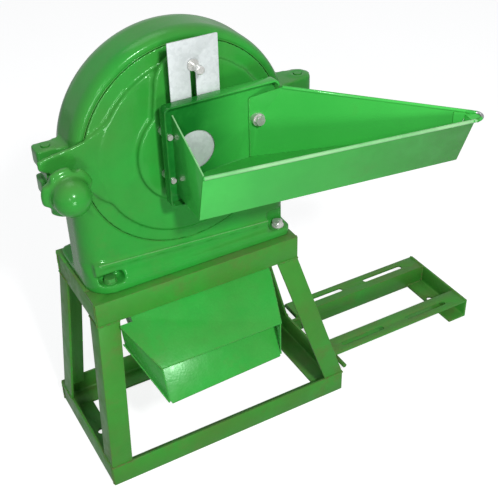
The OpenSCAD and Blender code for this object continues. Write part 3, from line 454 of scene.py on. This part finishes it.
weld("rail_welds", [((545.9, 46, 40), (545.9, 85, 40)), ((545.9, 181, 40), (545.9, 220, 40)),
                    ((545.9, 86, 6), (545.9, 86, 39)), ((545.9, 180, 6), (545.9, 180, 39)),
                    ((510, 86.2, 4.2), (541, 86.2, 4.2)), ((510, 179.8, 4.2), (541, 179.8, 4.2))],
     0.0018, "motor_rails", stand_enamel)


# ---- Discharge chute ----
# A duct of 2 mm sheet hangs inside the top frame and slopes forward to a low mouth. Its four
# panels are bent and welded along their edges.

SHEET_GREEN = (0.030, 0.385, 0.050)
SHEET_THIN = (0.040, 0.310, 0.042)
sheet_enamel = enamel("sheet_enamel", SHEET_GREEN, SHEET_THIN, 0.30, 0.22, 0.9, 0.25, 0.22)

for panel in ("chute_top_panel", "chute_left_side", "chute_right_side", "chute_bottom_panel"):
    eased(panel, 0.0004, sheet_enamel, "mill", panel + "_sheet")
weld("chute_welds", [((-141.4, -55, 261.4), (-172.4, 14, 303.6)), ((61, -55, 261.4), (84.2, 17, 305.4)),
                     ((-135.2, -55, 191.6), (-170.4, 17, 267)), ((60.6, -55, 199.8), (84, 17, 276))],
     0.0013, "mill", sheet_enamel)


# ---- Cast body ----
# One grey-iron casting: a round grinding chamber that runs down into a hood and a bolted foot,
# with an ear pair on each side. It was moulded in sand, so every corner is rounded and the skin
# under the enamel is slightly uneven.


def add_bar(mesh, sections):
    """Adds a closed bar to a mesh: each section is a ring of points in the drawing's millimetres."""
    work = bmesh.new()
    work.from_mesh(mesh)
    rings = [[work.verts.new(at(*point)) for point in ring] for ring in sections]
    faces = [work.faces.new(rings[0]), work.faces.new(list(reversed(rings[-1])))]
    for near, far in zip(rings, rings[1:]):
        for i in range(len(near)):
            j = (i + 1) % len(near)
            faces.append(work.faces.new((near[j], near[i], far[i], far[j])))
    bmesh.ops.recalc_face_normals(work, faces=faces)
    work.to_mesh(mesh)
    work.free()


def cast_form(node_name, name, voxel, rounds, material, body, bars=()):
    """A casting in its CAD form, with the rounded corners that a sand mould gives."""
    form = merged_copy(node_name)
    for bar in bars:
        add_bar(form, bar)
    source = bpy.data.objects.new("source", form)
    bpy.context.scene.collection.objects.link(source)
    skin = source.modifiers.new("skin", "REMESH")
    skin.mode = "VOXEL"
    skin.voxel_size = voxel
    round_off = source.modifiers.new("round_off", "SMOOTH")
    round_off.factor = 0.5
    round_off.iterations = rounds
    piece = add_piece(name, baked(source), material, body)
    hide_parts(node_name)
    return piece


CAST_GREEN = (0.024, 0.318, 0.038)
CAST_THIN = (0.040, 0.260, 0.036)
cast_enamel = enamel("cast_enamel", CAST_GREEN, CAST_THIN, 0.20, 0.25, 0.8, 0.30, 0.12)

# cast ledge along the foot: higher at the left, with a hollow between it and the flange
LEDGE_ENDS = ((-184.0, 401.5), (96.0, 384.0))
ledge = []
for x, z in LEDGE_ENDS:
    ledge.append([(x, 50, z + 3), (x, 42.5, z + 1.5), (x, 40, z - 0.5), (x, 39.4, z - 3), (x, 41.5, z - 9),
                  (x, 50, z - 12)])
# rounded lip of the flange in front, and the low brow over the left bolt pocket
lip = [[(x, 46, 363), (x, 33.4, 363), (x, 33.2, 366.5), (x, 35, 370), (x, 38.5, 371.5), (x, 46, 372)]
       for x in (-146.0, 92.0)]
brow = [[(x, 46, 402), (x, 41.5, 396), (x, 41, 384), (x, 46, 381), (x, 66, 381), (x, 66, 402)]
        for x in (-190.0, -147.0)]
cast_form("mill_body", "cast_body", 0.0025, 4, cast_enamel, "mill", (ledge, lip, brow))


def wire(path, radius, roundness, closed=False):
    """Mesh of a round wire through points in the drawing's millimetres."""
    line = bpy.data.curves.new("line", "CURVE")
    line.dimensions = "3D"
    line.bevel_depth = radius
    line.bevel_resolution = roundness
    line.resolution_u = 8
    line.use_fill_caps = True
    route = line.splines.new("POLY" if closed else "NURBS")
    route.points.add(len(path) - 1)
    for point, place in zip(route.points, path):
        point.co = (*at(*place), 1.0)
    route.use_cyclic_u = closed
    route.order_u = min(3, len(path))
    route.use_endpoint_u = True
    source = bpy.data.objects.new("source", line)
    bpy.context.scene.collection.objects.link(source)
    return baked(source)


# thread of paint that closes the joint between the door and its seat, round the spindle's axis
SPINDLE_X, SPINDLE_Z, JOINT_Y, JOINT_R = -33, 553, 46.0, 153.8
joint_path = [(SPINDLE_X + JOINT_R * math.cos(math.radians(a)), JOINT_Y,
               SPINDLE_Z + JOINT_R * math.sin(math.radians(a))) for a in range(0, 360, 2)]
add_piece("joint_thread", wire(joint_path, 0.0008, 2, True), cast_enamel, "mill", 60)

# paler line laid along the top of the ledge
pale_ledge_line = enamel("pale_ledge_line", (0.08, 0.42, 0.09), (0.16, 0.38, 0.13), 0.15, 0.3, 0.3, 0.5, 0.20)
weld("ledge_pale_line", [((-183, 41.2, 401.6), (95, 41.2, 384.1))], 0.0011, "mill", pale_ledge_line)


# ---- Bearing housing and belt drive ----
# Behind the body a cast housing carries the spindle in two ball bearings. Its end is closed by a
# cap, and a two-groove pulley is keyed to the spindle outside it.

cast_form("bearing_housing", "housing", 0.0022, 4, cast_enamel, "mill")
cast_form("bearing_cap", "housing_cap", 0.0013, 3, cast_enamel, "mill")


def metal(name, colour, roughness, scale, streaks=0.0, bare=1.0):
    """Bare or plated metal with fine tool marks and a slight stain; bare is its metallic share."""
    material, tree, shader, place = new_material(name)
    stain = remap(tree, noise(tree, place, scale * 0.3, 4.0, 0.6), 0.35, 0.75)
    tree.links.new(blend_colour(tree, stain, colour, tuple(c * 0.72 for c in colour)),
                   shader.inputs["Base Color"])
    tree.links.new(remap(tree, noise(tree, place, scale, 3.0), 0.3, 0.7, roughness - 0.08, roughness + 0.12),
                   shader.inputs["Roughness"])
    roughen(tree, shader, noise(tree, place, scale * 6.0, 2.0), 0.2 + streaks, 0.0003)
    shader.inputs["Metallic"].default_value = bare
    return material


turned_steel = metal("turned_steel", (0.42, 0.42, 0.43), 0.32, 60.0)
zinc_plate = metal("zinc_plate", (0.70, 0.70, 0.67), 0.30, 90.0, 0.0, 0.6)
dress(turned_steel, "main_shaft", "bearing_outer_rings", "bearing_inner_rings", "bearing_sleeve",
      "shaft_key")
dress(zinc_plate, "housing_bolts", "cap_bolts", "pulley_nut", "bearing_balls")
eased("belt_pulley", 0.0006, cast_enamel, "rotor", "pulley")


# ---- Rotor, claws and sieve ----
# A steel disc on the spindle's inner end carries two rings of hardened claws. They run between
# the fixed claws of the door, inside a ring of slotted sheet.

claw_steel = metal("claw_steel", (0.36, 0.35, 0.34), 0.42, 40.0, 0.2)
sieve_steel = metal("sieve_steel", (0.52, 0.52, 0.50), 0.38, 70.0)
dress(claw_steel, "rotor_disc", "rotor_claws", "door_claws", "rotor_nut")
dress(sieve_steel, "ring_sieve")


# ---- Pins, bolts and swivel block ----
# Steel pins stand in the two ear pairs and were painted over with the body. Zinc-plated M10
# bolts hold the foot to the frame; the brush caught those at the left.

dress(cast_enamel, "ear_pins", "clamp_block")
painted_bolt = enamel("painted_bolt", (0.035, 0.29, 0.045), (0.06, 0.22, 0.05), 0.35, 0.2, 0.2, 0.3, 0.3)
foot_bolt_set = eased("foot_bolts", 0.0005, painted_bolt, "mill", "foot_bolt_set")
foot_bolt_set.data.materials.append(zinc_plate)
LEFT_BOLTS_X = -0.19
for face in foot_bolt_set.data.polygons:
    face.material_index = 1 if face.center.x > LEFT_BOLTS_X else 0
dress(zinc_plate, "foot_nuts")


# ---- Door ----
# The front of the chamber is a cast disc with a raised plate, a round middle boss, an arched pad
# for the gate and two arms. It swings on the right-hand pin.

cast_form("mill_door", "door_casting", 0.0022, 4, cast_enamel, "door")
gasket_rubber, tree, shader, place = new_material("gasket_rubber")
rubber_tone = blend_colour(tree, noise(tree, place, 120.0), (0.012, 0.012, 0.012), (0.03, 0.03, 0.028))
tree.links.new(rubber_tone, shader.inputs["Base Color"])
shader.inputs["Roughness"].default_value = 0.8
dress(gasket_rubber, "door_gasket")


# ---- Clamp screw ----
# A cast knob with five finger notches and a domed cap, on a steel stud, pulls the door's left
# arm against the body.

# domed cap of the knob, as a depth and a radius of each ring from its foot to its crown
KNOB_X, KNOB_Z, DOME_Y, DOME_R = -221, 555.5, -9.0, 25.8
cap_profile = [(0.0, 26.6), (-4.0, 25.6)]
cap_profile += [(DOME_Y - DOME_R * math.sin(math.radians(a)), DOME_R * math.cos(math.radians(a)))
                for a in (3, 12, 22, 32, 42, 52, 62, 72, 81, 88)]
cap_rings = [[(KNOB_X + r * math.cos(math.radians(a)), y, KNOB_Z + r * math.sin(math.radians(a)))
              for a in range(0, 360, 10)] for y, r in cap_profile]
cast_form("clamp_knob", "hand_knob", 0.0012, 40, cast_enamel, "clamp_knob_body", (cap_rings,))
dress(turned_steel, "clamp_stud", "clamp_collar")


# ---- Slide gate ----
# A bare galvanised strip behind the feed tray closes the feed hole. It slides up past a thumb
# screw that stands in its slot.


def galvanised(name):
    """Hot-dip zinc: pale grey with a spangle of faint crystals and rubbed streaks."""
    material, tree, shader, place = new_material(name)
    crystal = tree.nodes.new("ShaderNodeTexVoronoi")
    crystal.inputs["Scale"].default_value = 220.0
    tree.links.new(place, crystal.inputs["Vector"])
    spangle = tree.nodes.new("ShaderNodeSeparateXYZ")
    tree.links.new(crystal.outputs["Color"], spangle.inputs[0])
    tone = blend_colour(tree, spangle.outputs["X"], (0.56, 0.60, 0.60), (0.64, 0.68, 0.68))
    dirt = remap(tree, noise(tree, place, 22.0, 5.0, 0.65), 0.50, 0.75, 0.0, 0.40)
    tree.links.new(blend_colour(tree, dirt, tone, (0.42, 0.49, 0.44)), shader.inputs["Base Color"])
    tree.links.new(remap(tree, spangle.outputs["Y"], 0.0, 1.0, 0.38, 0.54), shader.inputs["Roughness"])
    roughen(tree, shader, noise(tree, place, 300.0), 0.15, 0.0003)
    shader.inputs["Metallic"].default_value = 0.20
    return material


gate_zinc = galvanised("gate_zinc")
eased("feed_gate", 0.0003, gate_zinc, "gate", "gate_strip")
dress(zinc_plate, "gate_screw", "hopper_screws", "hopper_spacers")
dress(sheet_enamel, "gate_guide")


# ---- Feed tray ----
# A tray of 2 mm sheet, open at the top, that runs out to the right. A wire stiffens its rims and
# bends round the tip. It hangs on a flanged plate, screwed to the door on spacer tubes.

TRAY_GREEN = (0.048, 0.450, 0.066)
TRAY_THIN = (0.040, 0.400, 0.058)
tray_enamel = enamel("tray_enamel", TRAY_GREEN, TRAY_THIN, 0.14, 0.12, 1.0, 0.18, 0.13)
# back wall coat: lighter than the tray as a painted highlight on the lit wall, and darker towards the plate
# at its left end as painted shade
back_painted_light_enamel = enamel("tray_back_painted_light", (0.072, 0.600, 0.094), (0.062, 0.530, 0.082),
                     0.14, 0.12, 1.0, 0.18, 0.13, (0.13, -0.04, (0.044, 0.430, 0.062)))
# front wall coat: lighter at its left end as a painted highlight, and darker towards the tip as painted shade
front_painted_light_enamel = enamel("tray_front_painted_light", (0.075, 0.600, 0.100), (0.060, 0.500, 0.085),
                      0.14, 0.12, 1.0, 0.18, 0.13, (-0.22, 0.16, (0.026, 0.270, 0.022)))
# plate coat: darker towards its left end, a painted shadow in the corner by the left wall
plate_painted_shadow_enamel = enamel("tray_plate_painted_shadow", TRAY_GREEN, TRAY_THIN, 0.14, 0.12, 1.0, 0.18, 0.13,
                      (-0.13, -0.20, (0.008, 0.150, 0.018)))

for wall, coat in (("hopper_plate", plate_painted_shadow_enamel), ("hopper_left_wall", tray_enamel),
                   ("hopper_back_wall", back_painted_light_enamel), ("hopper_end_wall", back_painted_light_enamel),
                   ("hopper_floor", tray_enamel)):
    eased(wall, 0.0005, coat, "door", wall + "_sheet")
front_wall = eased("hopper_front_wall", 0.0005, front_painted_light_enamel, "door",
                   "hopper_front_wall_sheet")

# the rim wire is cut off the front wall here, and bent round the tip in one piece below
TIP_CUT = 333.4
work = bmesh.new()
work.from_mesh(front_wall.data)
cut = bmesh.ops.bisect_plane(work, geom=work.verts[:] + work.edges[:] + work.faces[:],
                             plane_co=at(TIP_CUT, 0, 0), plane_no=(1, 0, 0), clear_outer=True)
bmesh.ops.holes_fill(work, edges=[e for e in cut["geom_cut"] if isinstance(e, bmesh.types.BMEdge)])
work.to_mesh(front_wall.data)
work.free()

TIP_PATH = ((323.7, -137.8, 572.5), (331.6, -138.9, 572.5), (336.6, -139.2, 573.0), (341.3, -137.2, 573.8),
            (343.9, -133.2, 574.5), (343.9, -128.4, 575.2), (341.0, -124.6, 575.8), (336.4, -121.4, 576.4),
            (327.2, -117.4, 578.2))

# a paler coat is painted on the front and left rims as the highlight that runs along them
rim_painted_highlight = enamel("rim_painted_highlight", (0.13, 0.50, 0.15), (0.34, 0.62, 0.32), 0.1, 0.1, 0.2, 0.4, 0.2)
FRONT_RIM = ((-68.3, -81.4, 572.5), (131, -110.1, 572.5), (331.6, -138.9, 572.5))
LEFT_RIM = ((-68.5, -80.0, 576.0), (-68.5, -38, 600.8), (-68.5, 3.9, 625.3))
add_piece("front_rim_painted_highlight", wire(FRONT_RIM, 0.00272, 5), rim_painted_highlight, "door", 40)
add_piece("left_rim_painted_highlight", wire(LEFT_RIM, 0.0011, 5), rim_painted_highlight, "door", 40)
tip_wire = add_piece("tray_tip_wire", wire(TIP_PATH, 0.0027, 5), tray_enamel, "door", 40)

# the enamel is knocked off the front of the bend
BARE_X, BARE_Y = 0.176, -0.248
tip_wire.data.materials.append(turned_steel)
for face in tip_wire.data.polygons:
    face.material_index = 1 if face.center.x > BARE_X and face.center.y < BARE_Y else 0

# corner of the sheet between back wall and end wall, and the web that closes the tip over it
PLATE_T = 1.2
corner = bpy.data.meshes.new("corner")
corner_ring = ((310.5, -112.2, 545.6), (311.5, -112.6, 545.6), (327.3, -119.3, 572.6),
               (327.3, -119.4, 577.0), (310.5, -112.4, 579.4))
add_bar(corner, [corner_ring, [(x + 0.5, y + PLATE_T, z) for x, y, z in corner_ring]])
add_piece("tray_corner", corner, back_painted_light_enamel, "door", 30)
web = bpy.data.meshes.new("web")
web_ring = ((325.5, -137.8, 571.7), (331.6, -138.6, 571.6), (336.4, -138.8, 572.2), (340.9, -136.8, 573.0),
            (343.2, -133.0, 573.7), (343.2, -128.6, 574.4), (340.4, -125.0, 575.0), (336.0, -122.0, 575.6),
            (328.5, -118.7, 575.8), (325.5, -118.4, 574.8))
add_bar(web, [web_ring, [(x, y, z - PLATE_T) for x, y, z in web_ring]])
add_piece("tray_tip_web", web, back_painted_light_enamel, "door", 30)
weld("tray_welds", [((46.3, 3.7, 508), (46.3, 3.7, 620))], 0.0013, "door", back_painted_light_enamel)
dress(zinc_plate, "hopper_stay_bolt")
